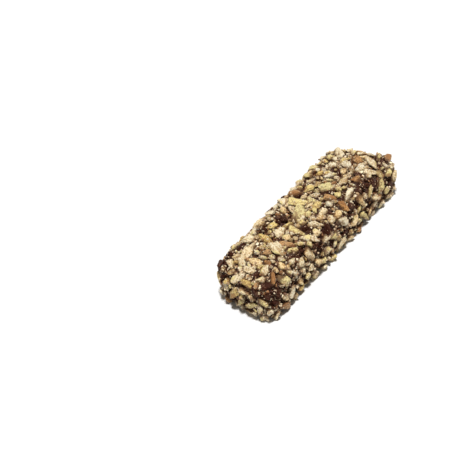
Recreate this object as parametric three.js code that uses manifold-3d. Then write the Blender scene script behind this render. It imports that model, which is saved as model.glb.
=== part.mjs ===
// A stick of english toffee: a slab of toffee coated in dark chocolate and rolled in chopped nuts.
//
// Frame: millimetres, +X along the stick to its far end, +Y to its back, +Z up. The origin lies
// under the middle of the stick, on the surface that it rests on.
//
// The chocolate coat is a slab with rounded edges. Its ends slant, so that the front is the longest
// side, and it is flat underneath, where it settled while it was soft. The chopped nuts are small
// faceted pieces that are sunk into the coat by about half. The most prominent ones have places of
// their own, and the rest are scattered by a rule, the largest first.

import * as THREE from 'three';
import { mergeVertices } from 'three/addons/utils/BufferGeometryUtils.js';
import Module from 'manifold-3d';

// ---------------------------------------------------------------- the chocolate coat, without nuts

const LENGTH = 73.6;
const WIDTH = 23;
const HEIGHT = 14.6;
const EDGE_RADIUS = 4.2;
const CORNER_RADIUS = 1;

const END_SLANT = 0.066; // the front is longer by this share than the middle, and the back shorter
const END_SKEW = -0.044; // shift along the stick for each millimetre towards the back
const SETTLE = 0.4; // height that the soft coat lost underneath
const LUMP_HEIGHT = 0.25; // rise and fall of the coat
const LUMP_LENGTH = 19; // from one rise to the next
const LUMP_CROSS_X = -0.6; // direction of the second, crossing wave
const LUMP_CROSS_Y = 1.7;

const COAT_ROWS = new THREE.Vector3(16, 6, 4); // rows of facets along the length, width and height

// ---------------------------------------------------------------- the chopped nuts

const LARGEST_RADIUS = 1.7; // mean radius, seen from above, of the first scattered nut
const HALVING_RANK = 260; // the plan area of a nut has halved by this rank
const SCATTERED_NUTS = 196;
const TRIES = 30; // places that are tried for each nut

const STRETCH = [1.05, 1.45]; // length over mean diameter, and mean diameter over width
const THICKNESS = [0.55, 0.8]; // thickness over mean diameter
const LARGE_THICKNESS = 0.8; // thickness over width of a large nut
const RISE = 0.1; // height of a nut's middle above the coat, over half its thickness
const LARGEST_TILT = THREE.MathUtils.degToRad(24);
const BREAKS = 9; // flat broken faces on a nut
const BREAK_DEPTH = [0.6, 0.92]; // distance of a break from the nut's middle, over its radius
const CORNER_REACH = 1.12; // a nut's few corners stand out this far, so that its faces lie true

const SLOTS = { stretch: 200, thickness: 201, turn: 202, tilt: 203, facing: 300, depth: 340 };

const SIDES = {
  top: { along: [1, 0, 0], across: [0, 1, 0], out: [0, 0, 1], spacing: 0.84 },
  front: { along: [1, 0, 0], across: [0, 0, 1], out: [0, -1, 0], spacing: 0.94 },
  back: { along: [1, 0, 0], across: [0, 0, 1], out: [0, 1, 0], spacing: 0.88 },
  near: { along: [0, 1, 0], across: [0, 0, 1], out: [-1, 0, 0], spacing: 0.94 },
  far: { along: [0, 1, 0], across: [0, 0, 1], out: [1, 0, 0], spacing: 0.9 },
};

// The nuts that stand out: the side they lie on, their place on it from its middle, their length
// and width in millimetres, and the turn of their length from the side's own direction, in degrees.
const LARGE_NUTS = [
  { side: 'top', at: [-25.8, 4.4], size: [7.1, 3.5], turn: 173 },
  { side: 'top', at: [-20.5, -4.3], size: [7.1, 2.9], turn: 63 },
  { side: 'top', at: [-2.5, 0.3], size: [5.8, 4.1], turn: 167 },
  { side: 'top', at: [29.9, -6.6], size: [7.0, 2.3], turn: 54 },
  { side: 'top', at: [2.5, 4.2], size: [5.3, 3.1], turn: 115 },
  { side: 'top', at: [-18.0, 2.1], size: [6.0, 2.7], turn: 68 },
  { side: 'top', at: [-21.6, 7.9], size: [3.9, 3.7], turn: 163 },
  { side: 'top', at: [12.3, -8.5], size: [5.8, 2.4], turn: 16 },
  { side: 'top', at: [13.1, -0.1], size: [4.3, 3.5], turn: 145 },
  { side: 'top', at: [30.0, -0.7], size: [5.1, 2.9], turn: 64 },
  { side: 'top', at: [31.8, 5.9], size: [5.2, 2.6], turn: 63 },
  { side: 'top', at: [-10.3, -4.0], size: [6.1, 2.3], turn: 81 },
  { side: 'top', at: [-12.0, 9.5], size: [4.3, 3.6], turn: 127 },
  { side: 'top', at: [1.5, 8.9], size: [3.8, 3.5], turn: 162 },
  { side: 'top', at: [10.4, 4.8], size: [3.9, 3.1], turn: 162 },
  { side: 'top', at: [-28.3, -0.9], size: [4.3, 3.0], turn: 104 },
  { side: 'top', at: [7.4, -10.0], size: [3.4, 3.2], turn: 105 },
  { side: 'top', at: [-13.2, 0.3], size: [3.9, 2.7], turn: 158 },
  { side: 'top', at: [-16.7, -5.2], size: [5.1, 1.9], turn: 101 },
  { side: 'top', at: [26.4, -0.1], size: [4.4, 2.3], turn: 65 },
  { side: 'top', at: [25.3, -8.3], size: [3.8, 2.5], turn: 116 },
  { side: 'top', at: [20.3, -6.6], size: [3.6, 2.6], turn: 143 },
  { side: 'top', at: [-32.4, -1.3], size: [3.7, 2.5], turn: 77 },
  { side: 'top', at: [-29.9, -5.9], size: [4.0, 2.2], turn: 3 },
  { side: 'top', at: [25.5, -4.8], size: [3.4, 2.4], turn: 170 },
  { side: 'top', at: [8.3, -4.3], size: [3.9, 2.0], turn: 99 },
  { side: 'top', at: [-11.4, -8.1], size: [3.1, 2.3], turn: 121 },
  { side: 'front', at: [-27.3, 3.9], size: [5.1, 2.9], turn: 122 },
  { side: 'front', at: [14.7, 3.2], size: [6.1, 2.5], turn: 119 },
  { side: 'front', at: [24.6, 2.1], size: [5.7, 2.8], turn: 89 },
  { side: 'front', at: [3.8, 3.9], size: [4.8, 2.7], turn: 157 },
  { side: 'front', at: [15.0, -2.7], size: [5.4, 2.2], turn: 128 },
  { side: 'front', at: [-14.4, 4.1], size: [4.5, 2.5], turn: 104 },
  { side: 'front', at: [-29.7, -4.2], size: [5.2, 2.3], turn: 143 },
  { side: 'front', at: [-1.7, 2.0], size: [4.8, 2.0], turn: 166 },
  { side: 'front', at: [-5.7, 4.2], size: [4.2, 1.9], turn: 170 },
  { side: 'near', at: [2.3, 0.7], size: [6.2, 2.6], turn: 121 },
  { side: 'near', at: [-3.9, -1.8], size: [5.8, 2.3], turn: 150 },
  { side: 'near', at: [2.0, 6.1], size: [4.5, 2.4], turn: 138 },
  { side: 'near', at: [-3.3, 6.9], size: [3.9, 2.1], turn: 24 },
  { side: 'near', at: [6.3, 0.7], size: [3.7, 2.4], turn: 88 },
  { side: 'near', at: [-9.4, 1.8], size: [3.3, 2.0], turn: 52 },
];

const BARE_MARGIN = 0.5; // a nut's middle keeps this share of its radius away from a bare patch

// Patches of bare chocolate: the side, the place on it and the radius.
const BARE_PATCHES = [
  { side: 'top', at: [18.3, -11.1], radius: 3.2 },
  { side: 'top', at: [-16.0, -10.6], radius: 2.6 },
  { side: 'top', at: [-9.1, 3.9], radius: 1.6 },
  { side: 'top', at: [-14.5, 6.6], radius: 1.5 },
  { side: 'front', at: [-31.8, 6.1], radius: 3.0 },
  { side: 'front', at: [-33.4, 0.6], radius: 2.6 },
  { side: 'front', at: [-10.0, 3.2], radius: 2.6 },
  { side: 'front', at: [-0.1, 5.0], radius: 2.0 },
  { side: 'front', at: [7.9, 3.5], radius: 2.4 },
  { side: 'front', at: [18.8, -0.7], radius: 1.8 },
  { side: 'front', at: [27.6, 2.0], radius: 1.8 },
  { side: 'near', at: [-4.3, 5.0], radius: 1.6 },
  { side: 'near', at: [6.7, 5.3], radius: 2.0 },
];

// ---------------------------------------------------------------- numbers

const DRAW_RANK_STEP = 127.1;
const DRAW_SLOT_STEP = 311.7;
const DRAW_SPREAD = 43758.5453;

const HALF = new THREE.Vector3(LENGTH, WIDTH, HEIGHT).multiplyScalar(0.5);
const ROUNDING = new THREE.Vector3(CORNER_RADIUS, CORNER_RADIUS, 0).addScalar(EDGE_RADIUS);
const FLAT = HALF.clone().sub(ROUNDING); // from the middle to where the rounding begins

// A repeatable draw between 0 and 1 for each slot of each rank.
function draw(rank, slot) {
  const wave = DRAW_SPREAD * Math.sin(rank * DRAW_RANK_STEP + slot * DRAW_SLOT_STEP);
  return wave - Math.floor(wave);
}

function between([low, high], share) {
  return low + (high - low) * share;
}

// ---------------------------------------------------------------- the coat's surface

// Rise and fall of the coat at a point: two slow waves that cross.
function lump(point) {
  const turn = (2 * Math.PI) / LUMP_LENGTH;
  const lengthwise = Math.sin(turn * (point.x + point.z));
  const crosswise = Math.sin(turn * (LUMP_CROSS_Y * point.y + LUMP_CROSS_X * point.x) + 1);
  return 0.5 * LUMP_HEIGHT * (lengthwise + crosswise);
}

// Carries a point of a sharp-cornered box, centred on the coat, to the rounded and slanted coat,
// and gives the coat's outward direction there.
function onCoat(boxPoint) {
  const inner = new THREE.Vector3(
    THREE.MathUtils.clamp(boxPoint.x, -FLAT.x, FLAT.x),
    THREE.MathUtils.clamp(boxPoint.y, -FLAT.y, FLAT.y),
    THREE.MathUtils.clamp(boxPoint.z, -FLAT.z, FLAT.z),
  );
  const sideways = new THREE.Vector3(boxPoint.x - inner.x, boxPoint.y - inner.y, 0);
  inner.add(sideways.clampLength(0, CORNER_RADIUS));

  const normal = boxPoint.clone().sub(inner).normalize();
  const point = inner.addScaledVector(normal, EDGE_RADIUS + lump(boxPoint));
  point.x = point.x * (1 - (END_SLANT * point.y) / HALF.y) + END_SKEW * (point.y + FLAT.y);
  point.z += HALF.z - SETTLE;
  return { point, normal };
}

// The point of the box at (u, v) from the middle of one of its sides.
function onSide(name, u, v) {
  const side = SIDES[name];
  return new THREE.Vector3()
    .addScaledVector(new THREE.Vector3(...side.along), u)
    .addScaledVector(new THREE.Vector3(...side.across), v)
    .add(new THREE.Vector3(...side.out).multiply(HALF));
}

// The slab of chocolate. Its rows of facets lie closer together towards the rounded edges.
function coatGeometry() {
  const size = HALF.clone().multiplyScalar(2);
  const slab = new THREE.BoxGeometry(size.x, size.y, size.z, COAT_ROWS.x, COAT_ROWS.y, COAT_ROWS.z);
  const positions = slab.getAttribute('position');
  const crowd = (value, half) => half * Math.sin((Math.PI / 2) * (value / half));
  for (let i = 0; i < positions.count; i += 1) {
    const corner = new THREE.Vector3().fromBufferAttribute(positions, i);
    corner.set(crowd(corner.x, HALF.x), crowd(corner.y, HALF.y), crowd(corner.z, HALF.z));
    const { point } = onCoat(corner);
    positions.setXYZ(i, point.x, point.y, point.z);
  }
  return slab;
}

// ---------------------------------------------------------------- the nuts' places

// The room round a point: the distance to the nearest nut, over that at which the two would touch.
// A nut counts as an oval, and the one that is looked for as a circle.
function roomRound(point, radius, nuts) {
  const rooms = nuts.map((nut) => {
    const gap = point.clone().sub(nut.foot);
    const along = gap.dot(nut.length);
    const aside = Math.sqrt(Math.max(0, gap.lengthSq() - along * along));
    return Math.hypot(along / (nut.half.x + radius), aside / (nut.half.y + radius));
  });
  return Math.min(...rooms);
}

function isBare(name, u, v, radius) {
  return BARE_PATCHES.some((patch) => {
    const distance = Math.hypot(u - patch.at[0], v - patch.at[1]);
    return patch.side === name && distance < patch.radius + BARE_MARGIN * radius;
  });
}

// A nut on the coat: its middle, the directions of its length, width and thickness, and half of
// each of these sizes.
function nutAt(rank, name, u, v, half, turn) {
  const { point, normal } = onCoat(onSide(name, u, v));
  const along = new THREE.Vector3(...SIDES[name].along);
  const across = new THREE.Vector3(...SIDES[name].across);
  along.addScaledVector(normal, -along.dot(normal)).normalize();
  across.addScaledVector(normal, -across.dot(normal)).addScaledVector(along, -across.dot(along)).normalize();

  const length = along.multiplyScalar(Math.cos(turn)).addScaledVector(across, Math.sin(turn));
  const width = normal.clone().cross(length);
  const middle = point.clone().addScaledVector(normal, RISE * half.z);
  return { rank, foot: point, middle, length, width, normal, half };
}

function largeNuts() {
  return LARGE_NUTS.map((nut, rank) => {
    const [length, width] = nut.size;
    const half = new THREE.Vector3(length, width, LARGE_THICKNESS * width).multiplyScalar(0.5);
    return nutAt(rank, nut.side, nut.at[0], nut.at[1], half, THREE.MathUtils.degToRad(nut.turn));
  });
}

// Half of a side's length and depth.
function reachOf(name) {
  const { along, across } = SIDES[name];
  return [new THREE.Vector3(...along).dot(HALF), new THREE.Vector3(...across).dot(HALF)];
}

// The side that a draw falls on, with each side's share as large as its area.
function sideFor(share) {
  const names = Object.keys(SIDES);
  const areas = names.map((name) => reachOf(name)[0] * reachOf(name)[1]);
  const total = areas.reduce((sum, area) => sum + area);
  let upTo = 0;
  for (let i = 0; i < names.length; i += 1) {
    upTo += areas[i] / total;
    if (share < upTo) return names[i];
  }
  return names.at(-1);
}

// Adds one scattered nut at the roomiest of the places that are tried for it, if it has room there.
function scatterNut(nuts, rank) {
  const step = rank - LARGE_NUTS.length;
  const radius = LARGEST_RADIUS / Math.sqrt(1 + step / HALVING_RANK);
  const best = { room: 1 };
  for (let attempt = 0; attempt < TRIES; attempt += 1) {
    const name = sideFor(draw(rank, 3 * attempt));
    const [reach, depth] = reachOf(name);
    const u = reach * (2 * draw(rank, 3 * attempt + 1) - 1);
    const v = depth * (2 * draw(rank, 3 * attempt + 2) - 1);
    const { point } = onCoat(onSide(name, u, v));
    const room = isBare(name, u, v, radius) ? 0 : roomRound(point, radius, nuts) / SIDES[name].spacing;
    if (room > best.room) Object.assign(best, { room, name, u, v });
  }
  if (best.name) {
    const stretch = between(STRETCH, draw(rank, SLOTS.stretch));
    const thickness = between(THICKNESS, draw(rank, SLOTS.thickness));
    const half = new THREE.Vector3(stretch, 1 / stretch, thickness).multiplyScalar(radius);
    nuts.push(nutAt(rank, best.name, best.u, best.v, half, Math.PI * draw(rank, SLOTS.turn)));
  }
}

function placeNuts() {
  const nuts = largeNuts();
  for (let i = 0; i < SCATTERED_NUTS; i += 1) {
    scatterNut(nuts, LARGE_NUTS.length + i);
  }
  return nuts;
}

// ---------------------------------------------------------------- the shape of one nut

// A direction for each pair of draws, spread evenly over the sphere.
function directionOf(first, second) {
  const z = 2 * first - 1;
  const ring = Math.sqrt(1 - z * z);
  const angle = 2 * Math.PI * second;
  return new THREE.Vector3(ring * Math.cos(angle), ring * Math.sin(angle), z);
}

// A round grain with flat breaks: the radius in each direction is that of the nearest break.
function nutGeometry(nut) {
  const breaks = Array.from({ length: BREAKS }, (_, i) => ({
    facing: directionOf(draw(nut.rank, SLOTS.facing + 2 * i), draw(nut.rank, SLOTS.facing + 2 * i + 1)),
    depth: between(BREAK_DEPTH, draw(nut.rank, SLOTS.depth + i)),
  }));
  const tilt = LARGEST_TILT * (2 * draw(nut.rank, SLOTS.tilt) - 1);
  const toPlace = new THREE.Matrix4()
    .makeBasis(nut.length, nut.width, nut.normal)
    .multiply(new THREE.Matrix4().makeRotationX(tilt))
    .scale(nut.half)
    .setPosition(nut.middle);

  const grain = new THREE.IcosahedronGeometry(1, 0);
  const positions = grain.getAttribute('position');
  for (let i = 0; i < positions.count; i += 1) {
    const direction = new THREE.Vector3().fromBufferAttribute(positions, i).normalize();
    const radii = breaks.map(({ facing, depth }) => depth / Math.max(direction.dot(facing), depth));
    const corner = direction.multiplyScalar(CORNER_REACH * Math.min(...radii)).applyMatrix4(toPlace);
    positions.setXYZ(i, corner.x, corner.y, corner.z);
  }
  return grain;
}

// ---------------------------------------------------------------- joining

const wasm = await Module();
wasm.setup();

function solidOf(geometry) {
  geometry.deleteAttribute('normal');
  geometry.deleteAttribute('uv');
  const welded = mergeVertices(geometry);
  return new wasm.Manifold(new wasm.Mesh({
    numProp: 3,
    vertProperties: new Float32Array(welded.getAttribute('position').array),
    triVerts: new Uint32Array(welded.index.array),
  }));
}

function geometryOf(solid) {
  const { vertProperties, triVerts } = solid.getMesh();
  const geometry = new THREE.BufferGeometry();
  geometry.setAttribute('position', new THREE.BufferAttribute(new Float32Array(vertProperties), 3));
  geometry.setIndex(new THREE.BufferAttribute(new Uint32Array(triVerts), 1));
  geometry.computeVertexNormals();
  return geometry;
}

// The block of space under the stick, which cuts its underside flat.
function spaceBelow() {
  const block = new THREE.BoxGeometry(2 * LENGTH, 2 * WIDTH, HEIGHT);
  return solidOf(block.translate(0, 0, -HALF.z));
}

function toffeeSolid() {
  const coat = solidOf(coatGeometry());
  const covered = placeNuts().reduce((whole, nut) => whole.add(solidOf(nutGeometry(nut))), coat);
  const pieces = covered.subtract(spaceBelow()).decompose();
  return pieces.reduce((largest, piece) => (piece.volume() > largest.volume() ? piece : largest));
}

// ---------------------------------------------------------------- the finished stick

function toffeeBar() {
  const nutAndChocolate = new THREE.MeshStandardMaterial({ color: 0xcbb088, roughness: 0.6, metalness: 0 });
  const bar = new THREE.Mesh(geometryOf(toffeeSolid()), nutAndChocolate);
  bar.name = 'toffee_bar';
  return bar;
}

const toffee = new THREE.Group();
toffee.add(toffeeBar());

export default toffee;
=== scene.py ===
"""A stick of english toffee: a bar coated in dark chocolate and rolled in chopped nuts.

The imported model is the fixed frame. Its one node, toffee_bar, is replaced by the chocolate coat and
by the nuts and crumbs that stick to it, each kind a piece of its own. The large nuts and the first
scattered ones are the node's own, at the same places and sizes.

Tables and formulas are in millimetres, with the origin under the middle of the stick, +X along it
to its far end, +Y to its back and +Z up. Settings and meshes are in metres.
"""

import functools
import math

import bpy
import numpy as np
from mathutils import Matrix, Vector


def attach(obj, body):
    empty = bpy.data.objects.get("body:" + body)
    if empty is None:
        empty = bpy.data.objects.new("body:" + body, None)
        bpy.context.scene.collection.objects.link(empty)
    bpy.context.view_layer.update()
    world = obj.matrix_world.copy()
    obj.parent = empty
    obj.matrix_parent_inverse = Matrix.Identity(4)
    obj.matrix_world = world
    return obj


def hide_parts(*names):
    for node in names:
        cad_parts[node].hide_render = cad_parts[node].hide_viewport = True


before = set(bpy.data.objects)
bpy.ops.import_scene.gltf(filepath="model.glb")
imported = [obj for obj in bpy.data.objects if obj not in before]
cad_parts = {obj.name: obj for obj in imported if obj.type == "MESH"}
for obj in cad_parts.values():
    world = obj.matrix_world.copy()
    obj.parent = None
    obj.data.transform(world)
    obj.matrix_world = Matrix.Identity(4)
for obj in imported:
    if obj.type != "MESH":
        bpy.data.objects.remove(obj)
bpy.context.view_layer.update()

bl_info = {
    "name": "English Toffee Stick",
    "version": (1, 0, 0),
    "blender": (4, 5, 0),
    "location": "3D View > Sidebar > Toffee",
    "description": "A chocolate-coated toffee stick rolled in chopped nuts",
    "category": "Add Mesh",
}

MM = 0.001
BODY = "root"
NODE = "toffee_bar"

# ------------------------------------------------------------------ the form of the coat

CORNER_RADIUS = 1.0  # rounding of the slab's corners in plan, besides that of its edges
END_SLANT = 0.066  # the front is longer by this share than the middle, and the back shorter
END_SKEW = -0.044  # shift along the stick for each millimetre towards the back
SETTLE = 0.4  # height that the soft coat lost underneath
LUMP_HEIGHT = 0.25  # rise and fall of the coat
LUMP_LENGTH = 19.0  # from one rise to the next
LUMP_CROSSING = (-0.6, 1.7)  # direction of the second, crossing wave
LUMP_LEAD = 1.0  # and how far ahead that one is, in radians

COAT_STEP = 0.4  # from one row of the coat's mesh to the next
UNDERSIDE = 0.12  # height of the chocolate underneath, where only the nuts touch the table
COAT_SINK = 0.95  # depth of the chocolate between the nuts, below the coat's middle level
CREEP_HEIGHT = 0.8  # the chocolate has crept up this far round each nut
CREEP_WIDTH = 0.22  # reach of that creep, over the nut's radius
DAB_HEIGHT = 0.07  # height of the small unevenness of the coat
DAB_LENGTHS = (1.3, 3.1)  # shortest and longest wave of it
DAB_WAVES = 10
CHUNK = 1500  # points whose distances to all the nuts are worked out at once

# ------------------------------------------------------------------ the form of the nuts

HALVING_RANK = 260  # the plan area of a scattered nut has halved by this rank
TRIES = 30  # places that are tried for each nut
BARE_MARGIN = 0.5  # a nut's middle keeps this share of its radius away from a bare patch
STRETCH = (1.05, 1.45)  # length over mean diameter, and mean diameter over width
THICKNESS = (0.55, 0.8)  # thickness over mean diameter
LARGE_THICKNESS = 0.8  # thickness over width of a large nut
RISE = 0.1  # height of a nut's middle above the coat, over half its thickness
LARGEST_TILT = math.radians(24)
HIGHEST_TOP = 1.75  # a nut that would stand higher over the coat is pressed in

BLOCKINESS = 5.0  # power of the rounded block that a nut is broken from: 2 would be an egg
BREAKS = 5  # flat broken faces on a nut
BREAK_DEPTH = (0.6, 0.85)  # distance of a break from the nut's middle, over its radius
CHIPS = 4  # deeper breaks that give a nut its large flat faces
CHIP_DEPTH = (0.42, 0.72)
LARGE_CHIP_DEPTH = (0.56, 0.84)
LEAST_FACING = 0.4  # a direction that faces a break by less is cut as if it faced it by this
CORNER_REACH = 1.2  # a nut's corners stand out this far, so that its faces lie true
GRAININESS = 0.08  # small unevenness of a nut's surface, over its radius
KNOBS = 4  # waves of knobs that a nut's surface rises and falls in
KNOB_HEIGHT = 0.07  # their height, over its radius
KNOB_TURN = 4.6  # turn of a wave from a nut's middle to its surface
TAPER = 0.25  # largest growth of a nut's width from its middle to its end
FACE_SHARE = 0.5  # share of a nut's tone that differs from one broken face to the next
PRESSED_THICKNESS = 0.05  # least thickness of the part of a nut that the table has pressed flat
PRESS_PLAY = 0.05  # largest height of such a flat part above the table
LARGE_STEPS = 8  # rows of faces across each side of a nut's lattice: large, middling and small
MIDDLE_STEPS = 4
SMALL_STEPS = 3
MIDDLE_RANK = 600  # nuts from this rank on are small ones

# The smaller nuts that fill the gaps between the others
FILLER_RADIUS = 1.5  # mean radius of the largest
FILLER_HALVING = 240  # the plan area of one has halved this many ranks further on
FILLER_SPACING = (0.9, 1.44)  # they keep this share of the spacing, in their clusters and outside
SIDE_OPENNESS = 1.1  # and this much more on the sides and ends
CLUSTER_LENGTHS = (4.5, 8.0)  # shortest and longest wave of the clusters
CLUSTER_WAVES = 8
FILLER_STRETCH = (1.0, 1.28)
FILLER_THICKNESS = (0.8, 1.1)
FILLER_TILT = math.radians(36)
FILLER_RISE = 0.35  # largest rise of one beyond the other nuts', over half its thickness
FILLER_TOPS = (0.9, 1.6)  # one that would stand higher over the coat is pressed in

# ------------------------------------------------------------------ the form of the crumbs

CRUMB_RADIUS = (0.16, 0.8)
CRUMB_SKEW = 2.2  # above 1, most crumbs are small ones
CRUMB_CORNERS = (0.45, 1.1)  # a corner's distance from a crumb's middle, over its radius
CRUMB_SHIFT = 0.35  # random shift of each corner, over the crumb's radius
CRUMB_STRETCH = (0.7, 1.25)  # growth of a crumb along each of the three directions
CRUMB_RISE = 0.3  # height of a crumb's middle above the chocolate, over its radius
CRUMB_FROM = 0.85  # a crumb's middle keeps this far from a nut's middle, over its oval
BARE_OF_CRUMBS = 0.75  # share of the crumbs that a bare patch or a gap lacks

# The crumbs that stick to the nuts
DUST_RADIUS = (0.14, 0.55)
DUST_HEIGHTS = (0.45, 1.3)  # where on them, from the coat's middle level
DUST_TONE = (0.3, 0.9)  # from dark, 0, to pale, 1
BARE_OF_DUST = 0.6  # share of them that a chocolate-coated nut lacks

# ------------------------------------------------------------------ the draws

# Each nut, crumb and set of waves has a rank, and each random measure of it a slot.
BASE_RANK = 5000  # the ranks of the nuts underneath start here
CRUMB_RANK = 20000  # those of the crumbs on the coat here
DUST_RANK = 40000  # and those of the crumbs on the nuts here
CLUSTER_SEED, DAB_SEED = 70000, 71000
PLACE_SLOTS = 3  # each place that is tried takes three, for its side, u and v
SLOTS = {
    "side": 0, "u": 1, "v": 2,
    "corner": 0, "size": 3, "missing": 5,
    "wave_length": 1, "wave_phase": 2,
    "stretch": 200, "thickness": 201, "turn": 202, "tilt": 203, "kind": 204, "tone": 205,
    "rise": 206, "taper": 207, "pitch": 208, "play": 209, "hue": 210,
    "facing": 300, "depth": 340, "skin": 360, "face": 370, "grain": 400, "knob": 900, "phase": 920,
}
DRAW_RANK_STEP = 127.1
DRAW_SLOT_STEP = 311.7
DRAW_SPREAD = 43758.5453

# ------------------------------------------------------------------ the sides, and what lies where

# Each side of the stick: the directions along it, across it and out of it, and how far apart its
# nuts keep, over the distance at which two of them would touch.
SIDES = {
    "top": ((1, 0, 0), (0, 1, 0), (0, 0, 1), 0.84),
    "front": ((1, 0, 0), (0, 0, 1), (0, -1, 0), 0.94),
    "back": ((1, 0, 0), (0, 0, 1), (0, 1, 0), 0.88),
    "near": ((0, 1, 0), (0, 0, 1), (-1, 0, 0), 0.94),
    "far": ((0, 1, 0), (0, 0, 1), (1, 0, 0), 0.9),
    "base": ((1, 0, 0), (0, 1, 0), (0, 0, -1), 1.0),
}
SIDE_NAMES = list(SIDES)
TOP = SIDE_NAMES.index("top")
UPPER_SIDES = 5  # all but the base

# The nuts that stand out: the side they lie on, their place on it from its middle, their length
# and width, the turn of their length from the side's own direction in degrees, and their kind.
LARGE_NUTS = [
    ("top", (-25.8, 4.4), (7.1, 3.5), 173, "pale"),
    ("top", (-20.5, -4.3), (7.1, 2.9), 63, "pale"),
    ("top", (-2.5, 0.3), (5.8, 4.1), 167, "golden"),
    ("top", (29.9, -6.6), (7.0, 2.3), 54, "pale"),
    ("top", (2.5, 4.2), (5.3, 3.1), 115, "golden"),
    ("top", (-18.0, 2.1), (6.0, 2.7), 68, "golden"),
    ("top", (-21.6, 7.9), (3.9, 3.7), 163, "pale"),
    ("top", (12.3, -8.5), (5.8, 2.4), 16, "pale"),
    ("top", (13.1, -0.1), (4.3, 3.5), 145, "golden"),
    ("top", (30.0, -0.7), (5.1, 2.9), 64, "toasted"),
    ("top", (31.8, 5.9), (5.2, 2.6), 63, "pale"),
    ("top", (-10.3, -4.0), (6.1, 2.3), 81, "golden"),
    ("top", (-12.0, 9.5), (4.3, 3.6), 127, "pale"),
    ("top", (1.5, 8.9), (3.8, 3.5), 162, "pale"),
    ("top", (10.4, 4.8), (3.9, 3.1), 162, "golden"),
    ("top", (-28.3, -0.9), (4.3, 3.0), 104, "pale"),
    ("top", (7.4, -10.0), (3.4, 3.2), 105, "toasted"),
    ("top", (-13.2, 0.3), (3.9, 2.7), 158, "pale"),
    ("top", (-16.7, -5.2), (5.1, 1.9), 101, "toasted"),
    ("top", (26.4, -0.1), (4.4, 2.3), 65, "pale"),
    ("top", (25.3, -8.3), (3.8, 2.5), 116, "pale"),
    ("top", (20.3, -6.6), (3.6, 2.6), 143, "toasted"),
    ("top", (-32.4, -1.3), (3.7, 2.5), 77, "pale"),
    ("top", (-29.9, -5.9), (4.0, 2.2), 3, "pale"),
    ("top", (25.5, -4.8), (3.4, 2.4), 170, "pale"),
    ("top", (8.3, -4.3), (3.9, 2.0), 99, "toasted"),
    ("top", (-11.4, -8.1), (3.1, 2.3), 121, "pale"),
    ("front", (-27.3, 3.9), (5.1, 2.9), 122, "golden"),
    ("front", (14.7, 3.2), (6.1, 2.5), 119, "pale"),
    ("front", (24.6, 2.1), (5.7, 2.8), 89, "golden"),
    ("front", (3.8, 3.9), (4.8, 2.7), 157, "pale"),
    ("front", (15.0, -2.7), (5.4, 2.2), 128, "golden"),
    ("front", (-14.4, 4.1), (4.5, 2.5), 104, "pale"),
    ("front", (-29.7, -4.2), (5.2, 2.3), 143, "toasted"),
    ("front", (-1.7, 2.0), (4.8, 2.0), 166, "golden"),
    ("front", (-5.7, 4.2), (4.2, 1.9), 170, "pale"),
    ("near", (2.3, 0.7), (6.2, 2.6), 121, "golden"),
    ("near", (-3.9, -1.8), (5.8, 2.3), 150, "golden"),
    ("near", (2.0, 6.1), (4.5, 2.4), 138, "pale"),
    ("near", (-3.3, 6.9), (3.9, 2.1), 24, "golden"),
    ("near", (6.3, 0.7), (3.7, 2.4), 88, "pale"),
    ("near", (-9.4, 1.8), (3.3, 2.0), 52, "golden"),
]
LARGE_COUNT = len(LARGE_NUTS)
SOLID_COUNT = 196  # scattered nuts that were tried for the node's solid as well
FIRST_FILLER = LARGE_COUNT + SOLID_COUNT  # nuts from this rank on fill the gaps between those

# Patches of bare chocolate, where only small coated nuts lie: the side, the place on it and the
# radius.
BARE_PATCHES = [
    ("top", (18.3, -11.1), 3.2),
    ("top", (-16.0, -10.6), 2.6),
    ("top", (-9.1, 3.9), 1.6),
    ("top", (-14.5, 6.6), 1.5),
    ("front", (-31.8, 6.1), 3.0),
    ("front", (-33.4, 0.6), 2.6),
    ("front", (-10.0, 3.2), 2.6),
    ("front", (-0.1, 5.0), 2.0),
    ("front", (7.9, 3.5), 2.4),
    ("front", (18.8, -0.7), 1.8),
    ("front", (27.6, 2.0), 1.8),
    ("near", (-4.3, 5.0), 1.6),
    ("near", (6.7, 5.3), 2.0),
]

# Gaps between the bare nuts, in the same form: all scattered nuts in them are coated.
GAPS = [
    ("top", (-36.0, -10.5), 1.8),
    ("top", (-32.0, -3.8), 1.5),
    ("top", (-30.5, 9.3), 2.4),
    ("top", (-25.0, 7.8), 1.3),
    ("top", (-19.3, -11.2), 2.2),
    ("top", (-17.5, -1.0), 1.2),
    ("top", (-9.0, -6.2), 1.7),
    ("top", (-6.5, 4.2), 1.6),
    ("top", (-4.5, -11.3), 1.5),
    ("top", (5.2, 6.2), 1.3),
    ("top", (10.3, -2.6), 1.2),
    ("top", (21.8, -6.0), 1.3),
    ("top", (22.5, -11.6), 1.6),
    ("top", (32.8, -10.0), 1.8),
    ("front", (-35.0, 3.4), 3.0),
    ("front", (-10.8, 6.0), 2.0),
    ("front", (-2.5, 6.8), 2.4),
    ("front", (5.0, -1.8), 1.8),
    ("front", (11.6, 4.3), 1.3),
    ("front", (19.0, 6.8), 2.6),
    ("front", (23.2, 5.6), 1.7),
    ("front", (27.0, -2.6), 1.5),
    ("front", (30.8, 0.8), 2.3),
    ("near", (-10.0, 4.4), 1.7),
    ("near", (-6.8, 4.6), 1.5),
    ("near", (-1.2, 4.8), 1.5),
    ("near", (-4.0, 0.4), 1.6),
    ("near", (8.6, 2.0), 2.4),
    ("near", (6.0, -3.0), 1.6),
]

KINDS = ("pale", "golden", "toasted", "coated")
KIND_SHARES = (0.53, 0.33, 0.05, 0.09)
PALE, COATED = KINDS.index("pale"), KINDS.index("coated")

# ------------------------------------------------------------------ the stage

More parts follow.
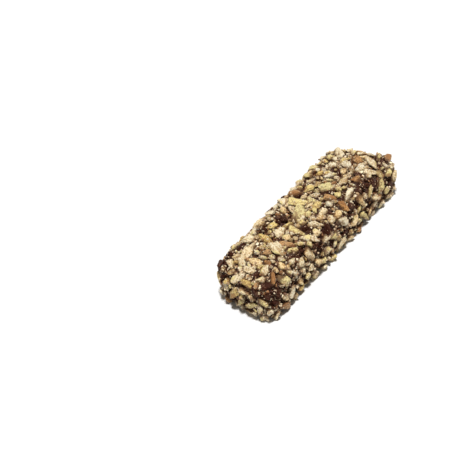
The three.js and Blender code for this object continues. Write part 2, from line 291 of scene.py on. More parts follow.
# The camera, the floor and the key light. The light's place is in metres, and it shines from there
# at the middle of the stick.
CAMERA_PLACE = (-254.3, -204.1, 270.4)
CAMERA_AZIMUTH = -46.63  # in degrees, as the next three: from the front towards the near end
CAMERA_ELEVATION = 38.22
CAMERA_ROLL = -10.94
CAMERA_FIELD = 20.0
SENSOR = 36.0
FLOOR_HALF = 3000.0
FLOOR_STEPS = 30
FLAT_REACH = 800.0  # the floor sweeps up beyond this distance from the middle
SWEEP_LENGTH = 6000.0  # square of the distance beyond it, over the height there
KEY_PLACE = (-0.1, -0.16, 0.9)
KEY_SPREAD = math.radians(8)
SKY_COLOUR = (1.0, 0.87, 0.68, 1.0)


def draw(rank, slot):
    """A repeatable draw between 0 and 1: the fraction of a large sine of the rank and the slot."""
    turn = np.asarray(rank) * DRAW_RANK_STEP + np.asarray(slot) * DRAW_SLOT_STEP
    wave = DRAW_SPREAD * np.sin(turn)
    return wave - np.floor(wave)


def between(limits, share):
    """The number that lies this share of the way from the first limit to the second."""
    low, high = limits
    return low + (high - low) * share


def unit(vectors):
    """Vectors over their own lengths."""
    return vectors / np.linalg.norm(vectors, axis=-1, keepdims=True)


def ripple(points, lengths, count, seed):
    """Sum of crossing sine waves of the given lengths, over the square root of their number."""
    wave = seed + np.arange(count)
    ways = random_directions(np.array([seed]), SLOTS["facing"], count)[0]
    pitch = 2 * math.pi / between(lengths, draw(wave, SLOTS["wave_length"]))
    phase = 2 * math.pi * draw(wave, SLOTS["wave_phase"])
    waves = np.sin(points @ (ways * pitch[:, None]).T + phase)
    return waves.sum(axis=-1) / math.sqrt(count)


# ------------------------------------------------------------------ the coat's surface


class CoatForm:
    """The rounded, slanted slab of the coat, worked out from the coat's settings."""

    def __init__(self, length, width, height, edge_radius):
        self.half = np.array([length, width, height]) / 2
        self.radius = edge_radius
        corner = np.array([CORNER_RADIUS, CORNER_RADIUS, 0.0])
        self.flat = self.half - self.radius - corner
        self.along, self.across, self.out = (
            np.array([side[i] for side in SIDES.values()], float) for i in range(3)
        )
        self.spacing = np.array([side[3] for side in SIDES.values()])
        self.reach = self.along @ self.half
        self.depth = self.across @ self.half

    def lump(self, box):
        """Half the lump height times the sum of two sines.

        One is of x + z, and the other, LUMP_LEAD ahead, of x and y times LUMP_CROSSING.
        """
        turn = 2 * math.pi / LUMP_LENGTH
        lengthwise = np.sin(turn * (box[..., 0] + box[..., 2]))
        slanted = LUMP_CROSSING[1] * box[..., 1] + LUMP_CROSSING[0] * box[..., 0]
        return 0.5 * LUMP_HEIGHT * (lengthwise + np.sin(turn * slanted + LUMP_LEAD))

    def surface(self, box):
        """Carries points of the sharp box to the coat and gives the outward directions there.

        Each point is clamped to the flat core, moved out by the corner radius in plan and then by
        the edge radius and the lump along the line back to the point. Then x is scaled by a slant
        that falls with y, and shifted by a skew of y, and z is raised to stand on the table.
        """
        inner = np.clip(box, -self.flat, self.flat)
        sideways = (box - inner)[..., :2]
        distance = np.linalg.norm(sideways, axis=-1, keepdims=True)
        inner[..., :2] += sideways * np.minimum(1, CORNER_RADIUS / np.maximum(distance, 1e-9))
        normal = unit(box - inner)
        point = inner + normal * (self.radius + self.lump(box))[..., None]
        slant = 1 - END_SLANT * point[..., 1] / self.half[1]
        point[..., 0] = point[..., 0] * slant + END_SKEW * (point[..., 1] + self.flat[1])
        point[..., 2] += self.half[2] - SETTLE
        return point, normal

    def on_side(self, side, u, v):
        """The point of the sharp box at (u, v) from the middle of a side, u along it, v across."""
        start = self.out[side] * self.half
        return start + self.along[side] * u[..., None] + self.across[side] * v[..., None]

    def axes(self, side, normal, turn):
        """Directions of a nut's length and width: the side's own two, laid flat and turned."""
        along = self.along[side] - normal * np.sum(self.along[side] * normal, -1, keepdims=True)
        along = unit(along)
        across = self.across[side] - normal * np.sum(self.across[side] * normal, -1, keepdims=True)
        across = unit(across - along * np.sum(across * along, -1, keepdims=True))
        length = along * np.cos(turn)[..., None] + across * np.sin(turn)[..., None]
        return length, np.cross(normal, length)


# ------------------------------------------------------------------ the nuts' places


class Nuts:
    """Rows of nuts: rank, kind, foot, directions and half sizes, filled up one after another."""

    def __init__(self, room):
        self.count = 0
        self.rank = np.zeros(room, int)
        self.kind = np.zeros(room, int)
        self.foot, self.length, self.width, self.normal, self.half = np.zeros((5, room, 3))

    def add(self, form, rank, side, u, v, half, turn, kind):
        """Appends nuts that stand at (u, v) of their sides."""
        foot, normal = form.surface(form.on_side(side, u, v))
        length, width = form.axes(side, normal, turn)
        rows = slice(self.count, self.count + len(rank))
        self.rank[rows] = rank
        self.kind[rows] = kind
        self.foot[rows], self.normal[rows] = foot, normal
        self.length[rows], self.width[rows] = length, width
        self.half[rows] = half
        self.count = rows.stop

    def ovals(self, points, margin):
        """Distance of points from each nut's middle, over its oval widened by a margin."""
        gap = points[:, None, :] - self.foot[None, : self.count]
        along = np.einsum("ijk,jk->ij", gap, self.length[: self.count])
        square = np.einsum("ijk,ijk->ij", gap, gap)
        aside = np.sqrt(np.maximum(square - along**2, 0))
        half = self.half[: self.count]
        return np.hypot(along / (half[:, 0] + margin), aside / (half[:, 1] + margin))


def bare(patches, side, u, v, radius):
    """Whether a nut of this radius, at (u, v) of its side, would lie on one of the patches."""
    found = np.zeros(np.shape(u), bool)
    for name, (patch_u, patch_v), reach in patches:
        distance = np.hypot(u - patch_u, v - patch_v)
        found |= (side == SIDE_NAMES.index(name)) & (distance < reach + BARE_MARGIN * radius)
    return found


def add_large_nuts(nuts, form):
    """Adds the nuts of the table, as thick as LARGE_THICKNESS times their width."""
    rank = np.arange(LARGE_COUNT)
    side = np.array([SIDE_NAMES.index(nut[0]) for nut in LARGE_NUTS])
    place = np.array([nut[1] for nut in LARGE_NUTS])
    size = np.array([nut[2] for nut in LARGE_NUTS])
    turn = np.radians([nut[3] for nut in LARGE_NUTS])
    kind = np.array([KINDS.index(nut[4]) for nut in LARGE_NUTS])
    half = np.column_stack([size, LARGE_THICKNESS * size[:, 1]]) / 2
    nuts.add(form, rank, side, place[:, 0], place[:, 1], half, turn, kind)


def side_for(form, share, sides):
    """The side that a draw falls on, with each side's share as large as its area."""
    area = (form.reach * form.depth)[sides]
    return np.array(sides)[np.searchsorted(np.cumsum(area) / area.sum(), share, side="right")]


def random_places(form, rank, first_slot, sides):
    """Side, u and v of a place, from the draws of three slots."""
    side = side_for(form, draw(rank, first_slot + SLOTS["side"]), sides)
    u = form.reach[side] * (2 * draw(rank, first_slot + SLOTS["u"]) - 1)
    v = form.depth[side] * (2 * draw(rank, first_slot + SLOTS["v"]) - 1)
    return side, u, v


def fills_gap(rank):
    """Whether these ranks are those of the smaller nuts that fill the gaps."""
    return (rank >= FIRST_FILLER) & (rank < BASE_RANK)


def mean_radii(ranks, largest):
    """Falling radii: the largest over the square root of 1 + step / HALVING_RANK.

    Those of the gap-filling nuts fall from FILLER_RADIUS in the same way, by FILLER_HALVING.
    """
    radii = largest / np.sqrt(1 + np.arange(len(ranks)) / HALVING_RANK)
    further = np.maximum(ranks - FIRST_FILLER, 0) / FILLER_HALVING
    return np.where(fills_gap(ranks), FILLER_RADIUS / np.sqrt(1 + further), radii)


def half_sizes(ranks, radii):
    """Half the length, width and thickness: the radius times and over the stretch, and flattened."""
    filler = fills_gap(ranks)
    share = draw(ranks, SLOTS["stretch"])
    stretch = np.where(filler, between(FILLER_STRETCH, share), between(STRETCH, share))
    share = draw(ranks, SLOTS["thickness"])
    thickness = np.where(filler, between(FILLER_THICKNESS, share), between(THICKNESS, share))
    return np.column_stack([stretch, 1 / stretch, thickness]) * radii[:, None]


def spacings(form, ranks, side, foot):
    """How far apart nuts keep at each place, over the distance at which two would touch.

    It is the side's own spacing. The gap-filling nuts keep a share of it that swings with the
    clusters' crossing waves from the first to the second number of FILLER_SPACING.
    """
    cluster = 0.5 + 0.5 * ripple(foot, CLUSTER_LENGTHS, CLUSTER_WAVES, CLUSTER_SEED).clip(-1, 1)
    sparse = between(FILLER_SPACING, cluster) * np.where(side == TOP, 1, SIDE_OPENNESS)
    return form.spacing[side] * np.where(fills_gap(ranks)[:, None], sparse, 1)


def clear_places(ranks, drawn, side, u, v, radii):
    """Whether a nut may lie at each place.

    None lies on a bare patch, and a gap-filling one in no gap either, but a gap-filling one that
    was drawn as coated lies anywhere.
    """
    filler = fills_gap(ranks)[:, None]
    clear = ~bare(BARE_PATCHES, side, u, v, radii[:, None])
    clear &= ~(bare(GAPS, side, u, v, radii[:, None]) & filler)
    return clear | (filler & (drawn == COATED)[:, None])


def kinds_at(drawn, side, u, v, radii):
    """The kind that a nut has at each place, from the one that was drawn for it.

    In a gap it is coated. Elsewhere on a side that has patches one drawn as coated is pale, unless
    it lies on a patch.
    """
    patched = np.isin(side, [SIDE_NAMES.index(patch[0]) for patch in BARE_PATCHES])
    away = patched & ~bare(BARE_PATCHES + GAPS, side, u, v, radii[:, None])
    kind = np.where((drawn == COATED)[:, None] & away, PALE, drawn[:, None])
    return np.where(bare(GAPS, side, u, v, 0), COATED, kind)


def scatter(nuts, form, first_rank, count, largest, sides):
    """Adds nuts of falling size, each at the roomiest of the places that are tried for it.

    A place's room is the distance to the nearest nut, over that at which the two would touch and
    the spacing there, and a nut that has less than 1 everywhere is left out.
    """
    ranks = first_rank + np.arange(count)
    radii = mean_radii(ranks, largest)
    side, u, v = random_places(form, ranks[:, None], PLACE_SLOTS * np.arange(TRIES), sides)
    foot, _ = form.surface(form.on_side(side, u, v))
    drawn = np.searchsorted(np.cumsum(KIND_SHARES)[:-1], draw(ranks, SLOTS["kind"]))
    clear = clear_places(ranks, drawn, side, u, v, radii)
    kind = kinds_at(drawn, side, u, v, radii)
    spacing = spacings(form, ranks, side, foot)
    half = half_sizes(ranks, radii)
    turn = math.pi * draw(ranks, SLOTS["turn"])
    for i in range(count):
        room = nuts.ovals(foot[i], radii[i]).min(axis=1) / spacing[i] * clear[i]
        best = np.argmax(room)
        if room[best] > 1:
            own = slice(i, i + 1)
            at = (own, best)
            nuts.add(form, ranks[own], side[at], u[at], v[at], half[i], turn[own], kind[at])


@functools.lru_cache(maxsize=1)
def coat_and_nuts(sizes, largest, tried, tried_below):
    """The coat's form, and the nuts: the large ones, those scattered over the coat, those below."""
    form = CoatForm(*sizes)
    nuts = Nuts(LARGE_COUNT + tried + tried_below)
    add_large_nuts(nuts, form)
    scatter(nuts, form, LARGE_COUNT, tried, largest, list(range(UPPER_SIDES)))
    scatter(nuts, form, BASE_RANK, tried_below, largest, [SIDE_NAMES.index("base")])
    return form, nuts


def laid_out(scene):
    """The coat's form and the nuts, from the scene's settings."""
    coat, nuts = scene.toffee_coat, scene.toffee_nuts
    sizes = (coat.length / MM, coat.width / MM, coat.height / MM, coat.edge_radius / MM)
    return coat_and_nuts(sizes, nuts.largest_radius / MM, nuts.tried, nuts.tried_below)


# ------------------------------------------------------------------ meshes


def box_lattice(steps):
    """Points and outward quads of a box, as shares from -1 to 1.

    Each side is a grid of two parameters with the given numbers of steps, and the points that
    sides share are merged, so the box is closed.
    """
    points, quads, offset = [], [], 0
    for axis in range(3):
        i, j = (axis + 1) % 3, (axis + 2) % 3
        for end in (0, steps[axis]):
            a, b = np.meshgrid(np.arange(steps[i] + 1), np.arange(steps[j] + 1), indexing="ij")
            grid = np.zeros(a.shape + (3,), int)
            grid[..., axis] = end
            grid[..., i] = a
            grid[..., j] = b
            index = offset + np.arange(a.size).reshape(a.shape)
            quad = np.stack([index[:-1, :-1], index[1:, :-1], index[1:, 1:], index[:-1, 1:]], -1)
            quad = quad.reshape(-1, 4)
            quads.append(quad if end else quad[:, ::-1])
            points.append(grid.reshape(-1, 3))
            offset += a.size
    corners, merged = np.unique(np.concatenate(points), axis=0, return_inverse=True)
    return 2 * corners / np.array(steps) - 1, merged.reshape(-1)[np.concatenate(quads)]


def ball_lattice(steps):
    """Directions and quads of a ball: a box's lattice with even steps of angle, pushed out."""
    shares, quads = box_lattice((steps,) * 3)
    return unit(np.tan(shares * math.pi / 4)), quads


def mesh_piece(name, points, quads, attributes, material, smooth_below):
    """A piece from points in millimetres and quads, with one number per point for each attribute.

    Edges that turn by more than the given angle stay sharp.
    """
    mesh = bpy.data.meshes.new(name)
    mesh.vertices.add(len(points))
    mesh.vertices.foreach_set("co", (points * MM).astype(np.float32).ravel())
    mesh.loops.add(quads.size)
    mesh.loops.foreach_set("vertex_index", quads.astype(np.int32).ravel())
    mesh.polygons.add(len(quads))
    mesh.polygons.foreach_set("loop_start", np.arange(0, quads.size, 4, dtype=np.int32))
    mesh.update(calc_edges=True)
    for key, values in attributes.items():
        layer = mesh.attributes.new(key, "FLOAT", "POINT")
        layer.data.foreach_set("value", values.astype(np.float32).ravel())
    mesh.shade_smooth()
    mesh.set_sharp_from_angle(angle=smooth_below)
    mesh.materials.append(material)
    if mesh.validate():
        raise RuntimeError(f"{name} isn't a sound mesh")
    piece = bpy.data.objects.new(name, mesh)
    bpy.context.scene.collection.objects.link(piece)
    return piece


def ride_with_slot(piece):
    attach(piece, BODY)


def random_directions(rank, first_slot, count):
    """Directions with an even z and an even angle about it, count of them for each rank."""
    slots = first_slot + 2 * np.arange(count)
    z = 2 * draw(rank[:, None], slots) - 1
    angle = 2 * math.pi * draw(rank[:, None], slots + 1)
    ring = np.sqrt(1 - z**2)
    return np.stack([ring * np.cos(angle), ring * np.sin(angle), z], -1)


def grain_radii(rank, directions):
    """A rounded block with flat breaks: the radius in each direction is the smallest of them.

    The block's radius along n is the sum of the powers of n's parts, to the power -1 / BLOCKINESS.
    A break at depth d that faces m cuts the direction n at d / (n . m), with LEAST_FACING in place
    of a smaller n . m. The smallest is raised by CORNER_REACH, by a random grain and by the sines of
    the knobs. Each direction's face is given as well: the number of its break, or one more than the
    last where it is the block's.
    """
    block = (np.abs(directions) ** BLOCKINESS).sum(axis=1) ** (-1 / BLOCKINESS)
    faces = np.arange(BREAKS + CHIPS)
    facing = random_directions(rank, SLOTS["facing"], len(faces))
    share = draw(rank[:, None], SLOTS["depth"] + faces)
    large = (rank < LARGE_COUNT)[:, None]
    chip = np.where(large, between(LARGE_CHIP_DEPTH, share), between(CHIP_DEPTH, share))
    depth = np.where(faces < BREAKS, between(BREAK_DEPTH, share), chip)
    towards = np.einsum("nbk,dk->nbd", facing, directions)
    cut = depth[..., None] / np.maximum(towards, LEAST_FACING)
    block = np.broadcast_to(block, (len(rank), 1, len(directions)))
    cut = np.concatenate([cut, block], axis=1)
    grain = GRAININESS * (2 * draw(rank[:, None], SLOTS["grain"] + np.arange(len(directions))) - 1)
    turns = KNOB_TURN * random_directions(rank, SLOTS["knob"], KNOBS) @ directions.T
    phases = 2 * math.pi * draw(rank[:, None], SLOTS["phase"] + np.arange(KNOBS))
    knobs = KNOB_HEIGHT / math.sqrt(KNOBS) * np.sin(turns + phases[..., None]).sum(axis=1)
    return CORNER_REACH * cut.min(axis=1) * (1 + grain + knobs), cut.argmin(axis=1)


def tilted(rank, x, y, z):
    """Nuts' points, turned by a tilt about their length and then by a pitch about their width.

    The tilt is drawn from minus to plus the largest, and the pitch, which only a gap-filling nut
    has, from minus to plus half of that.
    """
    filler = fills_gap(rank)
    tilt = np.where(filler, FILLER_TILT, LARGEST_TILT) * (2 * draw(rank, SLOTS["tilt"]) - 1)
    pitch = np.where(filler, FILLER_TILT, 0) * (draw(rank, SLOTS["pitch"]) - 0.5)
    cos, sin = np.cos(tilt)[:, None], np.sin(tilt)[:, None]
    y, z = y * cos - z * sin, y * sin + z * cos
    cos, sin = np.cos(pitch)[:, None], np.sin(pitch)[:, None]
    return x * cos - z * sin, y, x * sin + z * cos


def nut_mesh(nuts, rows, steps):
    """Joined meshes of some of the nuts.

    Each is a ball with the grain's radii, wider towards one end, scaled to the nut's half sizes,
    tilted and stood on its foot. One that would stand too high is sunk. What would reach below the
    table is pressed flat, with PRESSED_THICKNESS between the nut's upper and lower half. Each point
    also keeps its height over the coat, the tone of its face, how far it faces the nut's skin, and
    the nut's hue.
    """
    rank, half = nuts.rank[rows], nuts.half[rows]
    foot, normal = nuts.foot[rows], nuts.normal[rows]
    filler = fills_gap(rank)
    directions, quads = ball_lattice(steps)
    radii, face = grain_radii(rank, directions)
    grain = directions * radii[..., None]
    taper = TAPER * (2 * draw(rank, SLOTS["taper"]) - 1)
    grain[..., 1:] *= 1 + (taper[:, None] * grain[..., 0])[..., None]
    x, y, z = tilted(rank, *np.moveaxis(grain * half[:, None, :], -1, 0))
    share = draw(rank, SLOTS["rise"])
    rise = RISE + np.where(filler, FILLER_RISE, 0) * share
    height = z + rise[:, None] * half[:, 2:]
    top = np.where(filler, between(FILLER_TOPS, share), HIGHEST_TOP)
    height -= np.maximum(height.max(axis=1) - top, 0)[:, None]
    points = (
        foot[:, None]
        + x[..., None] * nuts.length[rows][:, None]
        + y[..., None] * nuts.width[rows][:, None]
        + height[..., None] * normal[:, None]
    )
    middle = foot[:, 2] + rise * half[:, 2] * normal[:, 2]
    floor = PRESS_PLAY * draw(rank, SLOTS["play"])[:, None]
    floor = floor + np.where(points[..., 2] > middle[:, None], PRESSED_THICKNESS, 0)
    points[..., 2] = np.maximum(points[..., 2], floor)
    skin = np.einsum("dk,nk->nd", directions, random_directions(rank, SLOTS["skin"], 1)[:, 0])
    faces = draw(rank[:, None], SLOTS["face"] + face)
    tone = (1 - FACE_SHARE) * draw(rank, SLOTS["tone"])[:, None] + FACE_SHARE * faces
    hue = np.repeat(draw(rank, SLOTS["hue"])[:, None], len(directions), axis=1)
    attributes = {"height": height, "tone": tone, "skin": skin, "hue": hue}
    first = len(directions) * np.arange(len(rank))
    return points.reshape(-1, 3), (first[:, None, None] + quads).reshape(-1, 4), attributes


def nearest_nut(nuts, points):
    """Distance of points from the middle of the nearest nut, over its oval."""
    parts = np.array_split(points, max(1, len(points) // CHUNK))
    return np.concatenate([nuts.ovals(part, 0).min(axis=1) for part in parts])


def creep(nearest):
    """Height that the chocolate has crept up: a bell curve of the distance past the nut's oval."""
    return CREEP_HEIGHT * np.exp(-((np.maximum(nearest - 1, 0) / CREEP_WIDTH) ** 2))


def coat_mesh(form, nuts):
    """The coat: the rounded slab, raised in a ring round each nut, with small dabs all over."""
    steps = tuple(int(n) for n in np.ceil(2 * form.half / COAT_STEP))
    shares, quads = box_lattice(steps)
    points, normals = form.surface(shares * form.half)
    rise = creep(nearest_nut(nuts, points))
    rise += DAB_HEIGHT * ripple(points, DAB_LENGTHS, DAB_WAVES, DAB_SEED)
    points = points + normals * (rise - COAT_SINK)[:, None]
    points[:, 2] = np.maximum(points[:, 2], UNDERSIDE)
    return points, quads


def crumbs_on_coat(form, nuts, count):
    """Rank, middle, radius and tone of crumbs scattered over the coat, where no nut covers it."""
    rank = CRUMB_RANK + np.arange(count)
    side, u, v = random_places(form, rank, 0, list(range(UPPER_SIDES)))
    foot, normal = form.surface(form.on_side(side, u, v))
    nearest = nearest_nut(nuts, foot)
    open_patch = bare(BARE_PATCHES + GAPS, side, u, v, 0)
    free = (nearest > CRUMB_FROM) & (draw(rank, SLOTS["missing"]) > BARE_OF_CRUMBS * open_patch)
    radius = between(CRUMB_RADIUS, draw(rank, SLOTS["size"]) ** CRUMB_SKEW)
    middle = foot + normal * (CRUMB_RISE * radius + creep(nearest) - COAT_SINK)[:, None]
    return rank[free], middle[free], radius[free], draw(rank, SLOTS["tone"])[free]


def crumbs_on_nuts(nuts, each):
    """The same for fine crumbs stuck to the nuts, each at a random corner of its nut's outer side."""
    rows = np.flatnonzero(nuts.rank[: nuts.count] < BASE_RANK)
    points, _, attributes = nut_mesh(nuts, rows, SMALL_STEPS)
    height = attributes["height"]
    corners = height.shape[1]
    nut = np.arange(len(rows))[:, None]
    rank = DUST_RANK + each * nut + np.arange(each)
    corner = (corners * draw(rank, SLOTS["corner"])).astype(int)
    middle = points.reshape(-1, corners, 3)[nut, corner]
    low, high = DUST_HEIGHTS
    outer = (height[nut, corner] > low) & (height[nut, corner] < high)
    missing = np.where(nuts.kind[rows] == COATED, BARE_OF_DUST, 0)
    outer &= draw(rank, SLOTS["missing"]) > missing[:, None]
    radius = between(DUST_RADIUS, draw(rank, SLOTS["size"]) ** CRUMB_SKEW)
    tone = between(DUST_TONE, draw(rank, SLOTS["tone"]))
    return rank[outer], middle[outer], radius[outer], tone[outer]


def crumb_mesh(form, nuts, count, each):
    """All crumbs: blocks of eight corners, without those that reach below the table.

    A corner is its direction in a cube times a random reach, plus a random shift, times the crumb's
    radius and its random stretch along each axis.
    """
    found = zip(crumbs_on_coat(form, nuts, count), crumbs_on_nuts(nuts, each))
    rank, middle, radius, tone = (np.concatenate(pair) for pair in found)
    directions, quads = ball_lattice(1)
    corners = np.arange(len(directions))
    reach = between(CRUMB_CORNERS, draw(rank[:, None], SLOTS["depth"] + corners))
    shift = CRUMB_SHIFT * random_directions(rank, SLOTS["facing"], len(directions))
    stretch = between(CRUMB_STRETCH, draw(rank[:, None], SLOTS["stretch"] + np.arange(3)))
    local = (directions * reach[..., None] + shift) * (radius[:, None] * stretch)[:, None]
    points = middle[:, None] + local
    above = points[..., 2].min(axis=1) > 0
    points, tone = points[above], np.repeat(tone[above][:, None], len(directions), axis=1)
    first = len(directions) * np.arange(len(points))
    quads = (first[:, None, None] + quads).reshape(-1, 4)
    return points.reshape(-1, 3), quads, {"tone": tone}


# ------------------------------------------------------------------ shaders

# A nut's surface goes from its darkest colour at 0 to its lightest. It adds these shares of its tone
# and of three noises, and takes off the shift and the painted shade at its foot that come after them.
TONE_SHARE = 0.75
CLOUD_SHARE = 0.6
FINE_SHARE = 2.2
GRIT_SHARE = 4
SHADE_SHIFT = 0.06
PAINTED_FOOT_SHADE = 0.55  # painted shade, taken off at the nut's foot, where the nuts shade each other
PAINTED_SHADE_HEIGHTS = (0.1, 1.3)  # and less and less between these heights over the coat, where the painted shade fades out
WARM_TINT = (1.0, 0.88, 0.68, 1.0)  # what the yellowest nuts' colour is multiplied by
COOL_TINT = (0.95, 1.0, 1.1, 1.0)  # and the palest nuts'
SKIN_EDGE = 0.14  # width of a skin's edge, in how far a point faces the skin
SKIN_WANDER = 0.8  # and how far the edge wanders
FILM_COLOUR = (0.080, 0.028, 0.008)  # chocolate smeared thinly on a nut's foot
FILM_COVER = 0.85
FILM_HEIGHTS = (0.1, 0.75)  # it thins out between these heights over the coat
FILM_WANDER = 0.9  # and those heights wander as far as this
SMEAR_COVER = 0.75  # cover of the chocolate on the darker crumbs
MEAL_COLOUR = (0.28, 0.175, 0.115)  # nut meal on the chocolate
MEAL_COVER = 0.42


class Value:
    """A number on a node's socket. Arithmetic on it adds Math nodes."""

    def __init__(self, shader, socket):
        self.shader = shader
        self.socket = socket

    def _math(self, operation, *values):
        inputs = dict(enumerate(values))
        return self.shader.node("ShaderNodeMath", {"operation": operation}, inputs)

    def __add__(self, other):
        return self._math("ADD", self, other)

    def __sub__(self, other):
        return self._math("SUBTRACT", self, other)

    def __mul__(self, other):
        return self._math("MULTIPLY", self, other)

    def __radd__(self, other):
        return self._math("ADD", other, self)

    def __rsub__(self, other):
        return self._math("SUBTRACT", other, self)

    def __rmul__(self, other):
        return self._math("MULTIPLY", other, self)

    def step(self, low, high):
        """0 below low, 1 above high, and a smooth rise between them."""
        limits = {"Value": self, "From Min": low, "From Max": high}
        return self.shader.node("ShaderNodeMapRange", {"interpolation_type": "SMOOTHSTEP"}, limits)


class Shader:
    """One material: its nodes, and short forms for those that are used often."""

    def __init__(self, name):
        self.material = bpy.data.materials.new(name)
        self.material.use_nodes = True
        self.nodes = self.material.node_tree.nodes
        self.links = self.material.node_tree.links
        self.nodes.clear()
        self.place = self.node("ShaderNodeTexCoord", output="Object")

    def node(self, kind, settings=None, inputs=None, output=0):
        """Adds a node: first its settings, then its sockets' values or links."""
        made = self.nodes.new(kind)
        for key, value in (settings or {}).items():
            if key == "stops":
                self._set_stops(made.color_ramp, value)
            else:
                setattr(made, key, value)
        for key, value in (inputs or {}).items():
            if isinstance(value, Value):
                self.links.new(value.socket, made.inputs[key])
            else:
                made.inputs[key].default_value = value
        return Value(self, made.outputs[output]) if made.outputs else None

    @staticmethod
    def _set_stops(ramp, stops):
        while len(ramp.elements) < len(stops):
            ramp.elements.new(1)
        for element, (position, colour) in zip(ramp.elements, stops):
            element.position = position
            element.color = (*colour, 1)

    def noise(self, scale, detail=3.0, roughness=0.55, distortion=0.0):
        """Noise between 0 and 1 with the given number of grains to a metre."""
        inputs = {"Vector": self.place, "Scale": scale, "Detail": detail}
        inputs.update({"Roughness": roughness, "Distortion": distortion})
        return self.node("ShaderNodeTexNoise", {"noise_dimensions": "3D"}, inputs)

    def attribute(self, name):
        settings = {"attribute_type": "GEOMETRY", "attribute_name": name}
        return self.node("ShaderNodeAttribute", settings, output="Fac")

    def ramp(self, value, stops):
        return self.node("ShaderNodeValToRGB", {"stops": stops}, {"Fac": value})

    def mix(self, share, first, second, blend="MIX"):
        settings = {"data_type": "RGBA", "blend_type": blend}
        return self.node("ShaderNodeMix", settings, {0: share, 6: first, 7: second}, output=2)

    def bump(self, height, distance, strength=1.0):
        inputs = {"Height": height, "Distance": distance, "Strength": strength}
        return self.node("ShaderNodeBump", None, inputs)

    def finish(self, sockets):
        """Ends the material in a Principled shader with the given sockets."""
        surface = self.node("ShaderNodeBsdfPrincipled", None, sockets)
        self.node("ShaderNodeOutputMaterial", None, {"Surface": surface})
        return self.material


def rgba(colour):
    return (*tuple(colour)[:3], 1.0)


def shade(colour, factor=1.0):
    """A colour made lighter or darker, as a plain tuple."""
    return tuple(min(1.0, channel * factor) for channel in tuple(colour)[:3])


def blended(first, second, share):
    """A colour between two, with this share of the second."""
    return tuple((1 - share) * a + share * b for a, b in zip(first, second))


def chocolate_material(colour):
    """Dark chocolate: mottled and pitted, with nut meal in patches that makes it duller."""
    shader = Shader("Dark chocolate")
    mottle = shader.noise(420, 4, 0.6)
    specks = shader.noise(2200, 3, 0.7).step(0.48, 0.66)
    meal = specks * shader.noise(300, 2).step(0.35, 0.6)
    stops = [(0.3, shade(colour, 0.55)), (0.55, shade(colour)), (0.75, shade(colour, 1.7))]
    brown = shader.ramp(mottle, stops)
    pits = shader.noise(900, 5, 0.6, 0.4)
    return shader.finish({
        "Base Color": shader.mix(meal * MEAL_COVER, brown, rgba(MEAL_COLOUR)),
        "Roughness": 0.3 + 0.3 * mottle + 0.25 * meal,
        "Normal": shader.bump(pits, 0.18 * MM, 0.9),
        "IOR": 1.46,
        "Specular IOR Level": 0.08,
    })


def nut_material(name, light, dark, skin_colour, skin_from):
    """Chopped nut: mottled between two tones, with skin on one side, chocolate at its foot, and
    painted shade that darkens it towards its foot.
    """
    shader = Shader(name)
    tone, hue, height = (shader.attribute(key) for key in ("tone", "hue", "height"))
    cloud = shader.noise(380, 3, 0.6)
    fine = shader.noise(800, 4, 0.75)
    grit = shader.noise(2000, 2, 0.7)
    mixed = tone * TONE_SHARE + cloud * CLOUD_SHARE - SHADE_SHIFT
    mixed = mixed + (fine - 0.5) * FINE_SHARE + (grit - 0.5) * GRIT_SHARE
    # painted shade: the nut is darker towards its foot, standing in for the shade that the nuts cast
    # on each other there
    low = PAINTED_FOOT_SHADE * (1 - height.step(*PAINTED_SHADE_HEIGHTS))
    stops = [(0.0, dark), (0.4, blended(light, dark, 0.45)), (0.8, light)]
    flesh = shader.ramp(mixed - low, stops)
    flesh = shader.mix(hue.step(0.5, 1.0), flesh, WARM_TINT, "MULTIPLY")
    flesh = shader.mix(1 - hue.step(0.0, 0.5), flesh, COOL_TINT, "MULTIPLY")
    skin = shader.attribute("skin") + (cloud - 0.5) * SKIN_WANDER
    skin = skin.step(skin_from, skin_from + SKIN_EDGE)
    skinned = shader.mix(skin * (0.55 + 0.45 * fine), flesh, rgba(skin_colour))
    foot = height + (shader.noise(900, 3) - 0.5) * FILM_WANDER
    film = (1 - foot.step(*FILM_HEIGHTS)) * FILM_COVER
    grain = shader.noise(1300, 5, 0.75)
    return shader.finish({
        "Base Color": shader.mix(film, skinned, rgba(FILM_COLOUR)),
        "Roughness": 0.46 + 0.22 * fine,
        "Normal": shader.bump(grain, 0.7 * MM),
        "IOR": 1.45,
        "Specular IOR Level": 0.35,
        "Subsurface Weight": 0.1,
        "Subsurface Radius": (1.0, 0.6, 0.3),
        "Subsurface Scale": 0.6 * MM,
    })


def crumb_material(light, dark, chocolate):
    """Nut crumbs: each of one tone, and the darker ones smeared with chocolate."""
    shader = Shader("Nut crumbs")
    tone = shader.attribute("tone")
    stops = [(0.0, shade(dark, 0.35)), (0.3, dark), (0.6, blended(light, dark, 0.5)), (0.95, light)]
    flesh = shader.ramp(tone, stops)
    smear = shader.noise(700, 3).step(0.42, 0.6) * (1 - tone.step(0.45, 0.75))
    colour = shader.mix(smear * SMEAR_COVER, flesh, rgba(shade(chocolate, 1.8)))
    return shader.finish({"Base Color": colour, "Roughness": 0.6, "IOR": 1.45})


def floor_material(colour):
    """Matt white table top with a hardly visible unevenness."""
    shader = Shader("White table")
    cloud = shader.noise(6, 2)
    tint = shader.mix(cloud * 0.5, rgba(colour), rgba(shade(colour, 0.985)))
    return shader.finish({"Base Color": tint, "Roughness": 0.7})


# ------------------------------------------------------------------ settings


